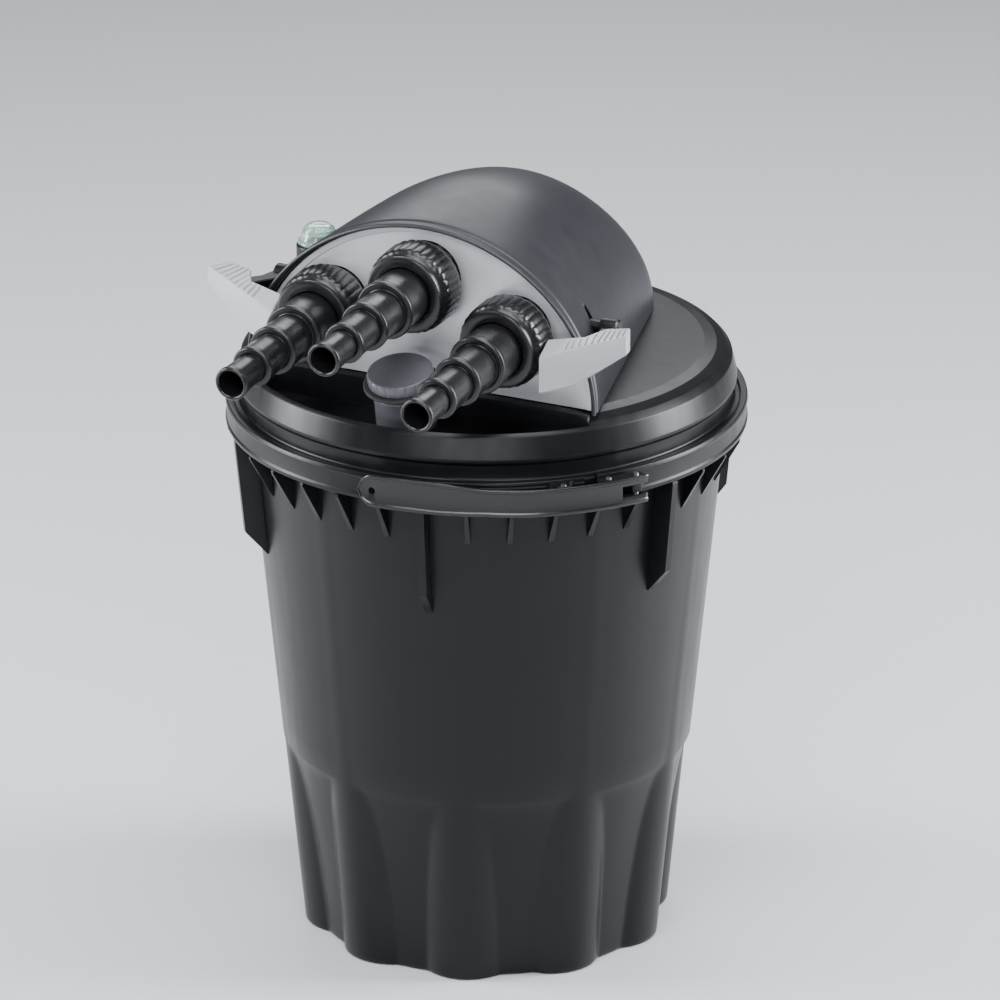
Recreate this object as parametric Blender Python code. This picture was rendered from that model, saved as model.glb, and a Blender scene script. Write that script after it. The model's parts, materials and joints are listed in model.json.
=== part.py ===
"""Pressurised pond filter: tapered barrel, clamped lid, hooded valve head with three hose tails,
and the foam stack and ultraviolet clarifier that it holds inside.

Lengths in this script are millimetres; MM turns them into Blender's metres.
+Z is up, the hose tails point along -Y, and the origin is the centre of the barrel's foot circle.
"""
import math

import bmesh
import bpy
from mathutils import Matrix, Vector

MM = 0.001
GAP = 0.3                      # air between touching pieces

# barrel
BARREL_TOP = 392.1             # underside of the rim flange
BARREL_FOOT_R = 135.5          # radius of the foot ribs at the floor
BARREL_TAPER = 0.0995          # radius gained per unit of height
BARREL_WALL = 4.0
FOOT_RIBS = 10
FOOT_RIB_TOP = 146.0           # where the foot ribs fade into the wall
FOOT_RIB_DEPTH = 10.0          # how far they stand proud at the floor
FOOT_RIB_ROUND = 34.0
FOOT_RIB_ANGLE = 18.0
STEPS_PER_RIB = 6
FOOT_LEVELS = (0.0, 50.0, 95.0, 125.0, 140.0, FOOT_RIB_TOP)
GUSSETS = 36
GUSSET_ANGLE = 11.5
BUTTRESS_EVERY = 6
GUSSET_TALL = 36.0
BUTTRESS_TALL = 92.0
BUTTRESS_DEPTH = 15.0          # how far a buttress stands off the wall
FIN_EDGE_R = 189.0

# rim joint and clamp band
FLANGE_R = 187.2
JOINT_Z = 400.0                # parting plane between barrel and lid
FLANGE = 7.8
BAND_R = 190.0
BAND_SHEET = 1.8
BAND_LIP_R = 184.0
BAND_LOW = 390.0
BAND_HIGH = 410.0
BAND_GAP_ANGLE = 49.0
BAND_GAP = 3.0                 # degrees left open at the split

# clamp lever, as angles from -Y towards +X
PIVOT_ANGLE = 58.0
PIVOT_R = 200.0
LINK_PIN_ANGLE = 52.0
LINK_PIN_R = 197.5
CATCH_ANGLE = 42.0
CATCH_R = 197.5
HOOK_MOUTH_ANGLE = 51.0        # the hook opens along the way it swings off the catch pin
LEVER_HINGE_END = 59.8
LEVER_END_ANGLE = -2.0
LEVER_LOW = 387.5
LEVER_HIGH = 412.0
LEVER_STEPS = 14
PIN_R = 2.0
DRILL_LOW = 380.0
DRILL_HIGH = 420.0

# lid and hood
LID_TOP = 449.5
DECK_Z = 428.0
DECK_R = 176.0
DECK_BACK_Y = -111.0
HOOD_FOOT_Z = LID_TOP + GAP
HOOD_FRONT_Y = -110.0
HOOD_BACK_Y = 157.0
HOOD_FRONT_HALF = 140.0
HOOD_SIDE_TAPER = 0.262
HOOD_HIGH = 129.0
HOOD_CREST_Y = -25.0
HOOD_POWER = 1.95              # superellipse exponent of the arch
HOOD_SHEET = 3.0
HOOD_LEAN = 0.056

# ports: union nut fronts, drooping slightly
PORT_DROOP = 3.0
PORTS = {
    "left": (-72.8, -135.3, 497.2),
    "middle": (0.0, -135.0, 526.8),
    "right": (72.8, -135.3, 497.2),
}
TAIL_LENGTH = 127.0
TAIL_STEPS = ((21.0, 31.0), (17.4, 63.0), (14.4, 95.0), (11.8, 127.0))
TAIL_BORE = 9.6
SPIGOT_R = 24.5

# selector
SHAFT_Y = -66.0
SHAFT_Z = 500.0
SHAFT_R = 5.0
SHAFT_HALF = 133.0
GRIP_FACE = ((106, 497), (167, 518), (167, 503), (145, 487), (129, 476), (106, 469))
GRIP_PLAN = ((106, -134), (167, -116.5), (160, -96), (142, -96), (133, -113), (106, -117))
DRUM_R = 26.0

# inside
FLOOR = 8.0                    # thickness of the barrel's floor
TUBE_R = 42.0
GRID_Z = 46.0
FOAMS = 5
FOAM_HIGH = 335.0
SLEEVE_R = 17.5
SLEEVE_END = 150.0

# small fittings on the head
TURRET_TILT = 14.0
TURRET_R = 21.5
TURRET_TOP = (0.0, -141.0, 472.5)
SIGHT = (-99.0, -72.0)
SIGHT_R = 16.5
ARCH_STEPS = 20


def polar(angle, radius, z=0.0):
    """Point at an angle in degrees from -Y towards +X."""
    a = math.radians(angle)
    return Vector((radius * math.sin(a), -radius * math.cos(a), z))


def paint(name, color, roughness, metallic=0.0, alpha=1.0):
    material = bpy.data.materials.new(name)
    material.use_nodes = True
    shader = material.node_tree.nodes["Principled BSDF"]
    shader.inputs["Base Color"].default_value = (*color, 1.0)
    shader.inputs["Roughness"].default_value = roughness
    shader.inputs["Metallic"].default_value = metallic
    shader.inputs["Alpha"].default_value = alpha
    return material


def finish(name, bm, material, frame=None):
    """Turn a bmesh in millimetres into a named object placed by its frame."""
    bmesh.ops.recalc_face_normals(bm, faces=bm.faces)
    bmesh.ops.scale(bm, vec=(MM, MM, MM), verts=bm.verts)
    mesh = bpy.data.meshes.new(name)
    bm.to_mesh(mesh)
    bm.free()
    mesh.shade_smooth()
    mesh.set_sharp_from_angle(angle=math.radians(30))
    part = bpy.data.objects.new(name, mesh)
    bpy.context.scene.collection.objects.link(part)
    if material is not None:
        mesh.materials.append(material)
    if frame is not None:
        part.rotation_euler = frame.to_euler()
        part.location = frame.translation * MM
    return part


def loft_mesh(rings):
    """Closed skin through rings of equal length, with flat ends."""
    bm = bmesh.new()
    loops = [[bm.verts.new(p) for p in ring] for ring in rings]
    count = len(loops[0])
    for low, high in zip(loops, loops[1:]):
        for i in range(count):
            j = (i + 1) % count
            bm.faces.new((low[i], low[j], high[j], high[i]))
    bm.faces.new(loops[0])
    bm.faces.new(loops[-1])
    return bm


def spin_mesh(profile, steps, start=0.0, sweep=360.0):
    """Turn a closed (radius, z) outline about Z; angles in degrees from -Y towards +X."""
    bm = bmesh.new()
    verts = [bm.verts.new(polar(start, r, z)) for r, z in profile]
    whole = sweep >= 360.0
    if whole:
        pairs = list(zip(verts, verts[1:]))
        if profile[0][0] > 0 or profile[-1][0] > 0:
            pairs.append((verts[-1], verts[0]))
        geometry = verts + [bm.edges.new(pair) for pair in pairs]
    else:
        face = bm.faces.new(verts)
        geometry = verts + face.edges[:] + [face]
    bmesh.ops.spin(
        bm, geom=geometry, cent=(0, 0, 0), axis=(0, 0, 1), steps=steps,
        angle=math.radians(sweep), use_merge=whole,
    )
    bmesh.ops.remove_doubles(bm, verts=bm.verts, dist=0.001)
    return bm


def turned(name, profile, material, steps=32, frame=None):
    return finish(name, spin_mesh(profile, steps), material, frame)


def prism_into(bm, outline, low, high):
    """Add a prism with a flat outline in X and Y."""
    verts = [bm.verts.new((x, y, low)) for x, y in outline]
    face = bm.faces.new(verts)
    top = bmesh.ops.extrude_face_region(bm, geom=[face])["geom"]
    moved = [v for v in top if isinstance(v, bmesh.types.BMVert)]
    bmesh.ops.translate(bm, vec=(0, 0, high - low), verts=moved)


def prism(name, outline, low, high, material, frame=None):
    bm = bmesh.new()
    prism_into(bm, outline, low, high)
    return finish(name, bm, material, frame)


def circle(radius, count=24, x=0.0, y=0.0):
    turns = [2 * math.pi * i / count for i in range(count)]
    return [(x + radius * math.cos(t), y + radius * math.sin(t)) for t in turns]


def box(name, low, high, material, frame=None):
    outline = [(low[0], low[1]), (high[0], low[1]), (high[0], high[1]), (low[0], high[1])]
    return prism(name, outline, low[2], high[2], material, frame)


def boolean(part, tool, operation):
    """Cut or join with a hidden tool object."""
    tool.hide_render = True
    tool.display_type = "WIRE"
    step = part.modifiers.new(operation.lower() + "_" + tool.name, "BOOLEAN")
    step.operation = operation
    step.solver = "EXACT"
    step.object = tool


def along(axis, point):
    """Frame at a point whose Z runs along an axis."""
    turn = Vector(axis).to_track_quat("Z", "Y").to_matrix().to_4x4()
    return Matrix.Translation(point) @ turn


def ring_profile(inner, outer, low, high):
    return [(inner, low), (outer, low), (outer, high), (inner, high)]


def cord_profile(centre_r, centre_z, radius, count=8):
    turns = [2 * math.pi * i / count for i in range(count)]
    return [(centre_r + radius * math.cos(t), centre_z + radius * math.sin(t)) for t in turns]


# ---------------------------------------------------------------- barrel

def crest_radius(z):
    return BARREL_FOOT_R + BARREL_TAPER * z


def wall_radius(z):
    """Wall between the foot ribs: sunk behind their crests, up to a round arch."""
    return crest_radius(z) - FOOT_RIB_DEPTH * math.sqrt(max(0.0, 1 - (z / FOOT_RIB_TOP) ** 2))


def inner_wall(z):
    return wall_radius(z) - BARREL_WALL


def barrel_radius(angle, z):
    """Outer radius, with half-round foot ribs."""
    crest = crest_radius(z)
    wall = wall_radius(z)
    pitch = 360.0 / FOOT_RIBS
    off = math.radians((angle - FOOT_RIB_ANGLE + pitch / 2) % pitch - pitch / 2)
    centre = crest - FOOT_RIB_ROUND
    under = FOOT_RIB_ROUND ** 2 - (centre * math.sin(off)) ** 2
    if under <= 0:
        return wall
    return max(wall, centre * math.cos(off) + math.sqrt(under))


def gusset_outline(tall):
    """Radial section of a fin under the rim, in (radius, z)."""
    low = BARREL_TOP - tall
    inner = crest_radius(low) - 2.0
    tip = [(inner, low), (crest_radius(low) + 0.5, low)]
    if tall > GUSSET_TALL:
        shoulder = low + 0.2 * tall
        tip.append((crest_radius(shoulder) + BUTTRESS_DEPTH, shoulder))
    return tip + [
        (FIN_EDGE_R, BAND_LOW - 3.0), (FIN_EDGE_R, BAND_LOW - 0.4), (BAND_LIP_R - 1.0, BAND_LOW - 0.4),
        (BAND_LIP_R - 1.0, BARREL_TOP + 1.0), (inner, BARREL_TOP + 1.0),
    ]


def rim_fins():
    """Small gussets every ten degrees; every sixth is a long buttress."""
    bm = bmesh.new()
    for i in range(GUSSETS):
        angle = GUSSET_ANGLE + i * 360.0 / GUSSETS
        long_one = i % BUTTRESS_EVERY == 0
        outline = gusset_outline(BUTTRESS_TALL if long_one else GUSSET_TALL)
        half = 2.6 if long_one else 1.5
        side = Vector((math.cos(math.radians(angle)), math.sin(math.radians(angle)), 0)) * half
        rings = [[polar(angle, r, z) + side * s for r, z in outline] for s in (-1, 1)]
        verts = [[bm.verts.new(p) for p in ring] for ring in rings]
        bm.faces.new(verts[0])
        bm.faces.new(list(reversed(verts[1])))
        count = len(outline)
        for a in range(count):
            b = (a + 1) % count
            bm.faces.new((verts[0][a], verts[0][b], verts[1][b], verts[1][a]))
    return finish("tool_rim_fins", bm, None)


def barrel(material):
    steps = FOOT_RIBS * STEPS_PER_RIB
    levels = FOOT_LEVELS + (BARREL_TOP,)
    angles = [i * 360.0 / steps for i in range(steps)]
    rings = [[polar(a, barrel_radius(a, z), z) for a in angles] for z in levels]
    rings.append([polar(a, FLANGE_R, BARREL_TOP) for a in angles])
    rings.append([polar(a, FLANGE_R, JOINT_Z - 0.2) for a in angles])
    part = finish("barrel", loft_mesh(rings), material)
    cavity = [(0, FLOOR)]
    for z in (FLOOR,) + FOOT_LEVELS[1:] + (JOINT_Z + 5.0,):
        cavity.append((inner_wall(z), z))
    cavity.append((0, JOINT_Z + 5.0))
    boolean(part, rim_fins(), "UNION")
    boolean(part, turned("tool_cavity", cavity, None, 40), "DIFFERENCE")
    groove = ring_profile(174.5, 179.5, JOINT_Z - 4.6, JOINT_Z + 2)
    boolean(part, turned("tool_seal_groove", groove, None, 30), "DIFFERENCE")


def barrel_seal(material):
    turned("barrel_seal", cord_profile(177.0, JOINT_Z - 2.3, 2.0, 5), material, 30)


# ---------------------------------------------------------------- clamp band

def clamp_band(material):
    lip = BAND_SHEET
    profile = [
        (BAND_LIP_R, BAND_LOW), (BAND_R, BAND_LOW), (BAND_R, BAND_HIGH), (BAND_LIP_R, BAND_HIGH),
        (BAND_LIP_R, BAND_HIGH - lip), (BAND_R - lip, BAND_HIGH - lip),
        (BAND_R - lip, BAND_LOW + lip), (BAND_LIP_R, BAND_LOW + lip),
    ]
    start = BAND_GAP_ANGLE + BAND_GAP / 2
    finish("clamp_band", spin_mesh(profile, 40, start, 360.0 - BAND_GAP), material)


def swept_plate(stations, low, high):
    """Curved plate through (angle, inner radius, outer radius) stations."""
    outer = [polar(a, r1) for a, r0, r1 in stations]
    inner = [polar(a, r0) for a, r0, r1 in reversed(stations)]
    bm = bmesh.new()
    prism_into(bm, [(p.x, p.y) for p in outer + inner], low, high)
    return bm


def stadium(a, b, radius, count=8):
    """Outline of a bar with round ends at a and b."""
    d = (b - a).normalized()
    heading = math.atan2(d.y, d.x)
    points = []
    for centre, turn in ((b, -math.pi / 2), (a, math.pi / 2)):
        for i in range(count + 1):
            t = heading + turn + math.pi * i / count
            points.append((centre.x + radius * math.cos(t), centre.y + radius * math.sin(t)))
    return points


def arc_plate(name, stations, low, high, material, frame=None):
    """Curved plate placed so that its origin is on the frame's axis."""
    bm = swept_plate(stations, low, high)
    if frame is not None:
        bmesh.ops.translate(bm, vec=-frame.translation, verts=bm.verts)
    return finish(name, bm, material, frame)


def pin_axis(centre):
    return Matrix.Translation((centre.x, centre.y, 0))


def drill(part, name, centre, radius):
    """Upright hole through the clamp's height."""
    tool = prism("tool_" + name, circle(radius, 16, centre.x, centre.y), DRILL_LOW, DRILL_HIGH, None)
    boolean(part, tool, "DIFFERENCE")


def pivot_lug(plastic):
    """Single plate on one end of the band; the lever's cheeks straddle it."""
    foot = BAND_R + GAP
    tip = PIVOT_R + 2.7
    outline = [(56.0, foot, foot + 1), (56.8, foot, tip), (59.2, foot, tip), (62.0, foot, foot + 1)]
    lug = arc_plate("clamp_pivot_lug", outline, 396.5, 403.5, plastic)
    drill(lug, "lug_bore", polar(PIVOT_ANGLE, PIVOT_R), PIN_R + 0.1)


def catch_lug(plastic):
    """Two ears on the band's other end, which hold the bar that the hook takes hold of."""
    foot = BAND_R + GAP
    tip = CATCH_R + 3.5
    outline = [(39.5, foot, foot + 1), (40.6, foot, tip), (43.4, foot, tip), (44.5, foot, foot + 1)]
    ears = arc_plate("clamp_catch_lug", outline, 391.0, 409.0, plastic)
    slot = arc_plate("tool_catch_slot", [(36.0, foot + 1.6, 215), (48.0, foot + 1.6, 215)], 396.0, 404.0, None)
    boolean(ears, slot, "DIFFERENCE")
    drill(ears, "catch_bore", polar(CATCH_ANGLE, CATCH_R), PIN_R + GAP)


def clamp_pins(steel):
    pins = {
        "clamp_catch_pin": (CATCH_ANGLE, CATCH_R, 9.5),
        "clamp_pivot_pin": (PIVOT_ANGLE, PIVOT_R, 11.0),
        "clamp_link_pin": (LINK_PIN_ANGLE, LINK_PIN_R, 10.0),
    }
    for name, (angle, radius, half) in pins.items():
        outline = circle(PIN_R, 12)
        prism(name, outline, JOINT_Z - half, JOINT_Z + half, steel, pin_axis(polar(angle, radius)))


def clamp_link(steel):
    """Bar with a round eye at its pin and a hook over the catch pin."""
    link_pin = polar(LINK_PIN_ANGLE, LINK_PIN_R)
    frame = pin_axis(link_pin)
    reach = polar(CATCH_ANGLE, CATCH_R) - link_pin
    link = prism("clamp_link", stadium(Vector((0, 0, 0)), reach, 3.9), 396.6, 403.4, steel, frame)
    drill(link, "link_eye", link_pin, PIN_R + 0.1)
    inward = -polar(HOOK_MOUTH_ANGLE, 1.0)
    mouth = stadium(reach, reach + inward * 12.0, PIN_R + 0.7)
    boolean(link, prism("tool_link_mouth", mouth, DRILL_LOW, DRILL_HIGH, None, frame), "DIFFERENCE")


def clamp_lever(plastic):
    """Long curved strip whose hinge end is a fork with two cheeks."""
    pivot = polar(PIVOT_ANGLE, PIVOT_R)
    frame = pin_axis(pivot)
    stations = []
    for i in range(LEVER_STEPS + 1):
        angle = LEVER_END_ANGLE + (LEVER_HINGE_END - LEVER_END_ANGLE) * i / LEVER_STEPS
        rise = min(1.0, max(0.0, (angle - 8.0) / 30.0))
        radius = 192.5 + 11.0 * rise * rise * (3 - 2 * rise)
        stations.append((angle, radius, radius + 3.0))
    lever = arc_plate("clamp_lever", stations, LEVER_LOW, LEVER_HIGH, plastic, frame)
    for label, low, high in (("low", 390.5, 396.0), ("high", 404.0, 409.5)):
        cheek = [(50.0, 194.0, 205.0), (LEVER_HINGE_END, 194.0, 205.0)]
        boolean(lever, arc_plate("tool_cheek_" + label, cheek, low, high, None, frame), "UNION")
    fork = arc_plate("tool_lever_fork", [(54.0, 190.0, 215.0), (64.0, 190.0, 215.0)], 395.8, 404.2, None)
    boolean(lever, fork, "DIFFERENCE")
    drill(lever, "lever_bore_pivot", pivot, PIN_R + 0.1)
    drill(lever, "lever_bore_link", polar(LINK_PIN_ANGLE, LINK_PIN_R), PIN_R + 0.1)
    angle = LEVER_END_ANGLE + 2.2
    end = polar(angle, BAND_R, (LEVER_LOW + LEVER_HIGH) / 2)
    hole = turned("tool_lever_hole", [(0, 0), (2.4, 0), (2.4, 12), (0, 12)], None, 12, along(polar(angle, 1.0), end))
    boolean(lever, hole, "DIFFERENCE")


# ---------------------------------------------------------------- lid

def lid(material):
    profile = [
        (31.0, LID_TOP - 4), (31.0, LID_TOP), (160.0, LID_TOP), (167.0, LID_TOP - 2), (173.8, LID_TOP - 4.8),
        (178.5, 440.0), (182.0, 422.0), (179.3, 420.0), (179.3, JOINT_Z + FLANGE + 0.1),
        (FLANGE_R, JOINT_Z + FLANGE + 0.1), (FLANGE_R, JOINT_Z + 0.1), (164.5, JOINT_Z + 0.1),
        (164.5, 382.0), (161.0, 382.0), (161.0, 408.0), (177.0, 416.0), (174.5, 437.0), (166.0, LID_TOP - 5.5),
    ]
    part = turned("lid", profile, material, 40)
    pan = segment_outline(DECK_R + 1.6, DECK_BACK_Y + 3.5)
    boolean(part, prism("tool_deck_pan", pan, DECK_Z - 3.5, 440.0, None), "UNION")
    wall = [(-134, DECK_BACK_Y), (134, DECK_BACK_Y), (134, DECK_BACK_Y + 3.5), (-134, DECK_BACK_Y + 3.5)]
    boolean(part, prism("tool_deck_wall", wall, DECK_Z - 1, LID_TOP - 0.5, None), "UNION")
    recess = segment_outline(DECK_R, DECK_BACK_Y)
    boolean(part, prism("tool_deck_recess", recess, DECK_Z, 470.0, None), "DIFFERENCE")
    duct = prism("tool_lid_duct", circle(17.0, 24, 0, SHAFT_Y), 430, 470, None)
    boolean(part, duct, "DIFFERENCE")
    turret_hole = turned("tool_turret_hole", [(0, -30), (9, -30), (9, 20), (0, 20)], None, 20, turret_frame())
    boolean(part, turret_hole, "DIFFERENCE")


def segment_outline(radius, chord_y, count=20):
    """Part of a disc in front of a chord."""
    end = math.degrees(math.acos(-chord_y / radius))
    points = []
    for i in range(count + 1):
        p = polar(-end + 2 * end * i / count, radius)
        points.append((p.x, p.y))
    return points


# ---------------------------------------------------------------- hood

def hood_half_width(y, inset=0.0):
    width = HOOD_FRONT_HALF - HOOD_SIDE_TAPER * (y - HOOD_FRONT_Y)
    start = 95.0
    if y > start:
        u = (y - start) / (HOOD_BACK_Y - start)
        width *= max(0.0, 1 - u ** 3) ** 0.45
    return max(width - inset, 0.0)


def hood_height(y, inset=0.0):
    if y >= HOOD_CREST_Y:
        u = (y - HOOD_CREST_Y) / (HOOD_BACK_Y - HOOD_CREST_Y)
        tall = HOOD_HIGH * math.sqrt(max(0.0, 1 - u ** 1.7))
    else:
        u = (HOOD_CREST_Y - y) / (HOOD_CREST_Y - HOOD_FRONT_Y)
        tall = HOOD_HIGH - 9.5 * u ** 1.5
    return max(tall - inset, 0.0)


def arch(y, half, tall, count):
    """Superellipse arch at one station, leaning back towards the front of the hood."""
    power = 2.0 / HOOD_POWER
    lean = HOOD_LEAN * max(0.0, (HOOD_BACK_Y - y) / (HOOD_BACK_Y - HOOD_FRONT_Y))
    points = []
    for i in range(count + 1):
        t = math.pi * i / count
        x = half * math.copysign(abs(math.cos(t)) ** power, math.cos(t))
        z = tall * math.sin(t) ** power if 0 < i < count else 0.0
        points.append(Vector((x, y + lean * z, HOOD_FOOT_Z + z)))
    return points


def hood_stations(back):
    """Section positions from front to back, closer where the shell turns down."""
    count = 9
    return [back - (back - HOOD_FRONT_Y) * (1 - i / count) ** 1.45 for i in range(count)]


def hood_cover(material):
    count = ARCH_STEPS
    bm = bmesh.new()
    skins = []
    for inset in (0.0, HOOD_SHEET):
        back = HOOD_BACK_Y - inset
        rows = []
        for y in hood_stations(back):
            stretch = HOOD_FRONT_Y + (y - HOOD_FRONT_Y) * (HOOD_BACK_Y - HOOD_FRONT_Y) / (back - HOOD_FRONT_Y)
            half = hood_half_width(stretch, inset)
            tall = hood_height(stretch, inset)
            rows.append([bm.verts.new(p) for p in arch(y, half, tall, count)])
        tip = bm.verts.new((0, back, HOOD_FOOT_Z))
        for near, far in zip(rows, rows[1:]):
            for i in range(count):
                bm.faces.new((near[i], near[i + 1], far[i + 1], far[i]))
        last = rows[-1]
        for i in range(count):
            bm.faces.new((last[i], last[i + 1], tip))
        rim = [row[0] for row in reversed(rows)] + rows[0][1:] + [row[-1] for row in rows[1:]] + [tip]
        skins.append(rim)
    outer, inner = skins
    for i in range(len(outer)):
        j = (i + 1) % len(outer)
        bm.faces.new((outer[i], outer[j], inner[j], inner[i]))
    part = finish("hood_cover", bm, material)
    shaft_hole = turned("tool_hood_shaft_hole", [(0, -160), (SHAFT_R + 0.6, -160), (SHAFT_R + 0.6, 160), (0, 160)],
                        None, 16, along((1, 0, 0), (0, SHAFT_Y, SHAFT_Z)))
    boolean(part, shaft_hole, "DIFFERENCE")
    outline = circle(SIGHT_R + GAP, 24, *SIGHT)
    boolean(part, prism("tool_sight_hole", outline, 480, 560, None), "DIFFERENCE")
    gland = turned("tool_gland_hole", [(0, -40), (8.4, -40), (8.4, 40), (0, 40)], None, 20, gland_frame())
    boolean(part, gland, "DIFFERENCE")


def front_panel(material):
    count = ARCH_STEPS
    y = HOOD_FRONT_Y + 8.0
    inset = HOOD_SHEET + 1.4
    half = hood_half_width(y, inset)
    tall = hood_height(y, inset)
    rings = []
    for shift in (0.0, 3.0):
        ring = arch(y, half, tall, count)
        rings.append([p + Vector((0, shift, 0)) for p in ring])
    for ring in rings:
        ring[0].z += 0.2
        ring[-1].z += 0.2
    part = finish("front_panel", loft_mesh(rings), material)
    for label, centre in PORTS.items():
        hole = turned("tool_panel_hole_" + label, [(0, -60), (27.0, -60), (27.0, 10), (0, 10)], None, 32,
                      port_frame(centre))
        boolean(part, hole, "DIFFERENCE")


# ---------------------------------------------------------------- ports

def port_frame(centre):
    """Frame at a union nut's front face; Z points out along the hose tail."""
    return Matrix.Translation(centre) @ Matrix.Rotation(math.radians(90 + PORT_DROOP), 4, "X")


def tail_profile():
    profile = [(TAIL_BORE, -8.0), (SPIGOT_R - 0.4, -8.0), (SPIGOT_R - 0.4, -4.4), (TAIL_STEPS[0][0] - 0.6, -4.4)]
    start = 0.0
    for radius, end in TAIL_STEPS:
        profile.append((radius - 0.6, start))
        profile.append((radius + 0.6, end - 4.0))
        profile.append((radius - 0.9, end))
        start = end
    profile.append((TAIL_BORE, TAIL_LENGTH))
    return profile


def ports(black, rubber):
    for label, centre in PORTS.items():
        frame = port_frame(centre)
        turned("hose_tail_" + label, tail_profile(), black, 16, frame)
        nut = [(TAIL_STEPS[0][0] + 0.4, -4.0), (TAIL_STEPS[0][0] + 0.4, 0.0), (28.0, 0.0), (29.2, -1.6),
               (30.2, -6.0), (32.4, -9.0), (32.4, -30.0), (SPIGOT_R + 0.6, -30.0),
               (SPIGOT_R + 0.6, -4.0)]
        turned("union_nut_" + label, nut, black, 20, frame)
        turned("tail_seal_" + label, cord_profile(18.0, -9.6, 1.2, 4), rubber, 14, frame)
        reach = -42.0
        socket = [(TAIL_BORE + 3, reach), (TAIL_BORE + 5.4, reach), (TAIL_BORE + 5.4, -40.5), (26.6, -40.5),
                  (26.6, -37.0), (SPIGOT_R, -36.0), (SPIGOT_R, -11.2), (TAIL_BORE + 3, -11.2)]
        turned("port_socket_" + label, socket, black, 16, frame)


# ---------------------------------------------------------------- selector valve

def shaft_frame():
    return along((1, 0, 0), (0, SHAFT_Y, SHAFT_Z))


def valve_housing(material):
    half = 88.0
    frame = shaft_frame()
    shell = [(0, -half), (DRUM_R, -half), (DRUM_R, half), (0, half)]
    part = turned("valve_housing", shell, material, 20, frame)
    for label, centre in PORTS.items():
        neck = turned("tool_neck_" + label, [(0, -78), (13.0, -78), (13.0, -42.4), (0, -42.4)], None, 12,
                      port_frame(centre))
        boolean(part, neck, "UNION")
    down = prism("tool_down_pipe", circle(16.4, 12, 0, SHAFT_Y), 432, SHAFT_Z - 6, None)
    boolean(part, down, "UNION")
    room = turned("tool_drum_room", [(0, -half + 4), (DRUM_R - 4, -half + 4), (DRUM_R - 4, half + 5), (0, half + 5)],
                  None, 24, frame)
    boolean(part, room, "DIFFERENCE")
    bore = turned("tool_drum_bore", [(0, -100), (SHAFT_R + 0.3, -100), (SHAFT_R + 0.3, 0), (0, 0)], None, 16, frame)
    boolean(part, bore, "DIFFERENCE")
    for label, centre in PORTS.items():
        way = turned("tool_way_" + label, [(0, -64), (10.0, -64), (10.0, -30), (0, -30)], None, 12,
                     port_frame(centre))
        boolean(part, way, "DIFFERENCE")
    way = prism("tool_way_down", circle(12.0, 12, 0, SHAFT_Y), 420, SHAFT_Z - 9, None)
    boolean(part, way, "DIFFERENCE")
    cap = [(SHAFT_R + 0.3, half + GAP), (DRUM_R + 2, half + GAP), (DRUM_R + 2, half + 4), (SHAFT_R + 0.3, half + 4)]
    turned("valve_end_cap", cap, material, 24, frame)


def valve_rotor(material):
    frame = shaft_frame()
    radius = DRUM_R - 4.3
    part = turned("valve_rotor", [(SHAFT_R + 0.3, -81.5), (radius, -81.5), (radius, 84), (SHAFT_R + 0.3, 84)],
                  material, 24, frame)
    for label, centre in PORTS.items():
        x = centre[0]
        spread = 11.0
        cut = box("tool_rotor_port_" + label, (-40, 8, x - spread), (40, 40, x + spread), None, frame)
        boolean(part, cut, "DIFFERENCE")


def selector_shaft(material):
    frame = shaft_frame()
    turned("selector_shaft", [(0, -SHAFT_HALF), (SHAFT_R, -SHAFT_HALF), (SHAFT_R, SHAFT_HALF), (0, SHAFT_HALF)], material, 16, frame)


def grip_slab(name, side, outline, front, back, material=None):
    """Slab with a front outline in X and Z, in the selector's own frame."""
    hub = Vector((0, SHAFT_Y, SHAFT_Z))
    rows = [[Vector((side * x, y, z)) - hub for x, z in outline] for y in (front, back)]
    return finish(name, loft_mesh(rows), material, Matrix.Translation(hub))


def selector_lever(side, material):
    """Winged grip in front of the arch, deeper where it clears the hood, on an arm from the shaft."""
    label = "left" if side < 0 else "right"
    part = grip_slab("selector_lever_" + label, side, GRIP_FACE, -140.0, -90.0, material)
    frame = Matrix.Translation((0, SHAFT_Y, SHAFT_Z))
    plan = [(side * x, y - SHAFT_Y) for x, y in GRIP_PLAN]
    boolean(part, prism("tool_plan_" + label, plan, -50.0, 50.0, None, frame), "INTERSECT")
    reach = [(143, -100), (152, -100), (151, -93), (141, -82), (136, -62), (125, -62), (128, -82), (136, -93)]
    outline = [(side * x, y - SHAFT_Y) for x, y in reach]
    boolean(part, prism("tool_arm_" + label, outline, -6.0, 3.0, None, frame), "UNION")
    axis = along((side, 0, 0), (0, SHAFT_Y, SHAFT_Z))
    boss = turned("tool_boss_" + label, [(0, 124), (7.5, 124), (7.5, 137), (0, 137)], None, 20, axis)
    boolean(part, boss, "UNION")
    blind = SHAFT_HALF + GAP
    bore = [(0, 100), (SHAFT_R + GAP, 100), (SHAFT_R + GAP, blind), (0, blind)]
    boolean(part, turned("tool_grip_bore_" + label, bore, None, 16, axis), "DIFFERENCE")


# ---------------------------------------------------------------- small fittings on the head


def turret_frame():
    """Frame at the bleed cap's top face, tilted towards the front."""
    return Matrix.Translation(TURRET_TOP) @ Matrix.Rotation(math.radians(TURRET_TILT), 4, "X")


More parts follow.
